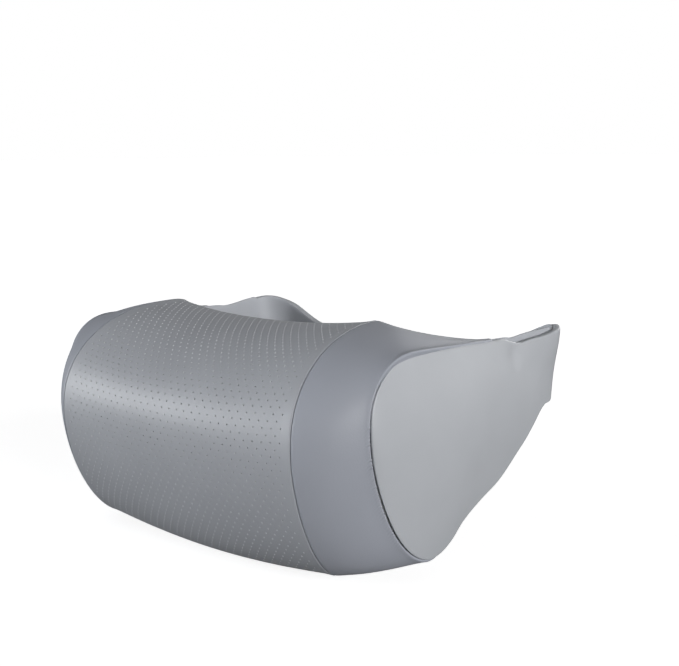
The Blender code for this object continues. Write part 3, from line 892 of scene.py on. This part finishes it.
def tapePiece(x0, x1, face):
    # a woven tape: flat selvedges round a field of pile
    half = closure["tapeWidth"] / 2
    cell, (across, deep) = closure["tapeCell"], closure["fuzz"]
    columns, rowsUp = round((x1 - x0) / cell), round(closure["tapeWidth"] / cell)
    rows = []
    for i in range(columns + 1):
        x = between(x0, x1, i / columns)
        row = []
        for j in range(rowsUp + 1):
            z = closure["level"] + half * (2 * j / rowsUp - 1)
            inside = min(x - x0, x1 - x, half - abs(z - closure["level"]))
            pile = ease((inside - closure["selvedge"]) / closure["pileOver"])
            fuzz = 0.5 + 0.5 * noise.noise(Vector((x * across, face * deep, z * across)))
            row.append(Vector((x, face - closure["pile"] * (1 - pile * fuzz), z)))
        rows.append(row)
    bm = sheet(rows, lambda c: Vector((0, 1, 0)))
    depth = closure["tapeThick"] - closure["pile"] - 0.0001
    turnEdge(bm, openEdges(bm), [(0.0, 0.0003), (0.0, depth)])
    return bm


def stitchLine(bm, corners):
    # lockstitches along a broken line, in the plane of the strap's face
    step, radius = closure["stitch"] + closure["stitchGap"], closure["threadRadius"]
    for a, b in zip(corners, corners[1:]):
        count = max(1, round((b - a).length / step))
        for i in range(count):
            middle = a.lerp(b, (i + 0.5) / count)
            turn = (b - a).to_track_quat("X", "Y").to_matrix().to_4x4()
            size = Matrix.Diagonal((closure["stitch"] / 2, radius, radius, 1))
            bmesh.ops.create_uvsphere(bm, u_segments=6, v_segments=4, radius=1.0,
                                      matrix=Matrix.Translation(middle) @ turn @ size)


def boxCorners(x0, x1, half, face):
    low, high = closure["level"] - half, closure["level"] + half
    corners = ((x0, low), (x1, low), (x1, high), (x0, high), (x0, low))
    return [Vector((x, face, z)) for x, z in corners]


def threadPiece():
    bm = bmesh.new()
    sewn, far = closure["sewnFace"], closure["farFace"]
    box = boxCorners(*closure["sewnBox"], sewn)
    stitchLine(bm, box)
    stitchLine(bm, [box[0], box[2]])
    stitchLine(bm, [box[1], box[3]])
    stitchLine(bm, boxCorners(*closure["hookBox"], far))
    hemFace = far + closure["hemThick"]
    for inset in closure["hemRows"]:
        stitchLine(bm, [Vector((closure["end"] - inset, hemFace, closure["level"] + z))
                        for z in (-closure["hemRowHalf"], closure["hemRowHalf"])])
    return bm


piece = newPiece("closureStrap", strapPiece(), [finishes["elastic"]])
thicken(piece, closure["thick"], 0.0005)
dress(piece, ["closure_strap"])
hemHalf = closure["width"] / 2 - closure["hemInset"]
hemLow = (closure["end"] - closure["hem"], closure["farFace"] - closure["hemInset"],
          closure["level"] - hemHalf)
hemHigh = (closure["end"] + closure["hemPast"], closure["farFace"] + closure["hemThick"],
           closure["level"] + hemHalf)
piece = newPiece("strapHem", slab(hemLow, hemHigh, 0.0005), [finishes["elastic"]])
dress(piece, ["closure_strap"])
for name, tapeKey in (("loopTape", "loop"), ("hookTape", "hook")):
    piece = newPiece(name, tapePiece(*closure[tapeKey]), [finishes["tape"]])
    dress(piece, [tapeKey + "_tape"])
piece = newPiece("strapStitches", threadPiece(), [finishes["thread"]])
dress(piece, ["closure_strap"])
print("closure made")

# floor, backdrop, lamps and camera
studio = {"floor": 60.0, "below": 0.0003, "pale": (0.62, 0.62, 0.62), "dim": (0.08, 0.08, 0.08),
          "glow": 0.785, "sky": 1.0, "fill": 0.06, "mirrored": 0.05}


def backdrop():
    bm = bmesh.new()
    bmesh.ops.create_grid(bm, x_segments=8, y_segments=8, size=studio["floor"])
    bmesh.ops.translate(bm, vec=(0, 0, cadLow.z - studio["below"]), verts=bm.verts[:])
    return bm


def seenOrMirrored(tree):
    # 1 to the camera, a part of that to reflections, 0 to all other light
    path = node(tree, "ShaderNodeLightPath")
    mirrored = node(tree, "ShaderNodeMath", {"operation": "MULTIPLY"},
                    at0=path.outputs["Is Glossy Ray"], at1=studio["mirrored"])
    seen = node(tree, "ShaderNodeMath", {"operation": "MAXIMUM"},
                at0=path.outputs["Is Camera Ray"], at1=mirrored.outputs["Value"])
    return seen.outputs["Value"]


def paper():
    # pale to the eye and in reflections, darker to the light that it throws back
    finish, tree, shader = newFinish("paper")
    seen = seenOrMirrored(tree)
    colour = node(tree, "ShaderNodeMix", {"data_type": "RGBA"}, Factor=seen)
    colour.inputs[6].default_value = (*studio["dim"], 1)
    colour.inputs[7].default_value = (*studio["pale"], 1)
    tree.links.new(colour.outputs[2], shader.inputs["Base Color"])
    tree.links.new(seen, shader.inputs["Emission Strength"])
    shader.inputs["Emission Color"].default_value = (studio["glow"],) * 3 + (1,)
    shader.inputs["Roughness"].default_value = 0.95
    shader.inputs["Specular IOR Level"].default_value = 0.1
    return finish


floor = newPiece("floor", backdrop(), [paper()])


def softLight(name, place, strength, spread, colour=(1, 1, 1)):
    data = bpy.data.lights.new(name, "SUN")
    data.energy = strength
    data.angle = math.radians(spread)
    data.color = colour
    lamp = bpy.data.objects.new(name, data)
    lamp.location = place
    lamp.rotation_euler = (-Vector(place)).to_track_quat("-Z", "Y").to_euler()
    bpy.context.scene.collection.objects.link(lamp)


softLight("rightLight", (1.16, -0.24, 0.20), 3.3, 36)
softLight("frontLight", (-1.04, -0.84, 0.05), 4.8, 40, (0.96, 0.98, 1.0))
softLight("backLight", (-0.2, 1.3, 0.30), 1.0, 36)
softLight("rearLight", (0.78, 0.85, 0.05), 0.45, 30)

world = bpy.data.worlds.new("studio")
bpy.context.scene.world = world
world.use_nodes = True
tree = world.node_tree
level = node(tree, "ShaderNodeMix", {"data_type": "FLOAT"}, Factor=seenOrMirrored(tree))
level.inputs[2].default_value = studio["fill"]
level.inputs[3].default_value = studio["sky"]
tree.links.new(level.outputs[0], tree.nodes["Background"].inputs["Strength"])
tree.nodes["Background"].inputs["Color"].default_value = (1, 1, 1, 1)

view = {"place": (0.5456, -0.5830, 0.1780), "right": (0.76837, 0.63992, -0.01064),
        "up": (-0.09509, 0.13058, 0.98687), "forward": (-0.63290, 0.75727, -0.16119), "lens": 58.40}
data = bpy.data.cameras.new("camera")
data.lens = view["lens"]
data.sensor_width = 36
data.dof.use_dof = False
camera = bpy.data.objects.new("camera", data)
turn = Matrix((view["right"], view["up"], [-c for c in view["forward"]])).transposed()
camera.matrix_world = Matrix.Translation(view["place"]) @ turn.to_4x4()
bpy.context.scene.collection.objects.link(camera)
bpy.context.scene.camera = camera
bpy.context.scene.view_settings.view_transform = "Standard"
print("studio made")
